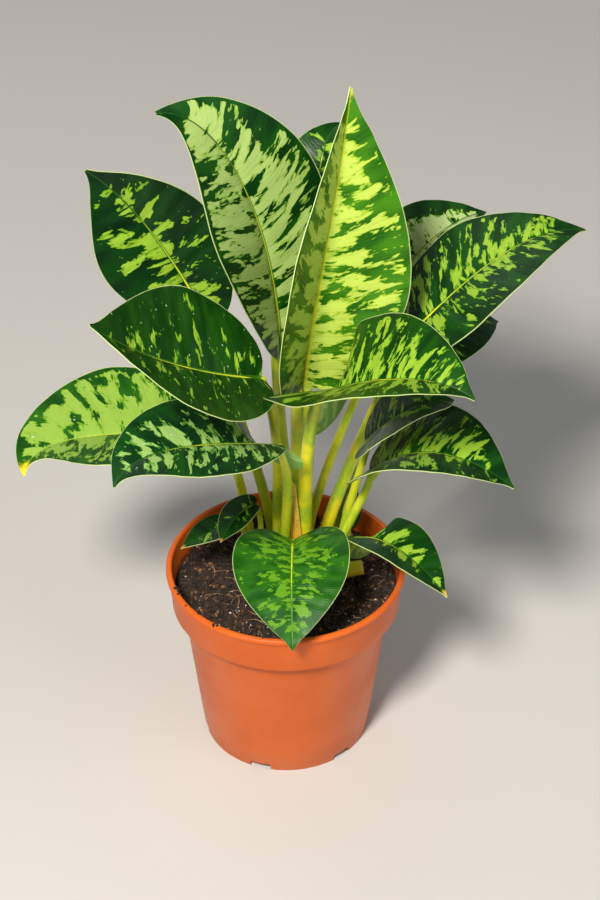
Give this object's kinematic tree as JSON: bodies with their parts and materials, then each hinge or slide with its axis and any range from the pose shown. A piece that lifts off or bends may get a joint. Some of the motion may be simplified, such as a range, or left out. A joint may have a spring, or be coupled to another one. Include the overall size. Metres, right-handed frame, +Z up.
{
  "type": "potted homalomena",
  "caption": "Potted foliage plant with heart-shaped mottled leaves on upright stalks, in a plain round nursery pot.",
  "frame": {"origin": "on the ground, under the middle of the plant's outline seen from above", "axes": "+Z up through the plant, +X to the plant's right and +Y to its back, seen from its front"},
  "size_m": [0.2991, 0.2089, 0.3846],
  "materials": {
    "pot_plastic": "satin moulded terracotta-orange plastic",
    "potting_mix": "dark crumbly potting mix with light specks",
    "leaf_blade": "glossy green leaf with cream-green mottling",
    "leaf_stalk": "smooth yellow-green stalk",
    "dry_sheath": "thin dry orange-brown sheath"
  },
  "bodies": {
    "root": {"pot": "pot_plastic", "soil": "potting_mix", "leaf_upright": "leaf_blade", "stalk_upright": "leaf_stalk", "leaf_hook_left": "leaf_blade", "stalk_hook_left": "leaf_stalk", "leaf_far_left": "leaf_blade", "stalk_far_left": "leaf_stalk", "leaf_front_left": "leaf_blade", "stalk_front_left": "leaf_stalk", "leaf_low_far_left": "leaf_blade", "stalk_low_far_left": "leaf_stalk", "leaf_low_left": "leaf_blade", "stalk_low_left": "leaf_stalk", "leaf_front_right": "leaf_blade", "stalk_front_right": "leaf_stalk", "leaf_right": "leaf_blade", "stalk_right": "leaf_stalk", "leaf_back_right": "leaf_blade", "stalk_back_right": "leaf_stalk", "leaf_back_centre": "leaf_blade", "stalk_back_centre": "leaf_stalk", "leaf_shaded_right": "leaf_blade", "stalk_shaded_right": "leaf_stalk", "leaf_low_right": "leaf_blade", "stalk_low_right": "leaf_stalk", "leaf_tucked_right": "leaf_blade", "stalk_tucked_right": "leaf_stalk", "leaf_front_heart": "leaf_blade", "stalk_front_heart": "leaf_stalk", "leaf_low_right_small": "leaf_blade", "stalk_low_right_small": "leaf_stalk", "leaf_left_small": "leaf_blade", "stalk_left_small": "leaf_stalk", "leaf_left_folded": "leaf_blade", "stalk_left_folded": "leaf_stalk", "leaf_inner_small": "leaf_blade", "stalk_inner_small": "leaf_stalk", "sheath": "dry_sheath", "cut_stub": "leaf_stalk"}
  },
  "joints": []
}
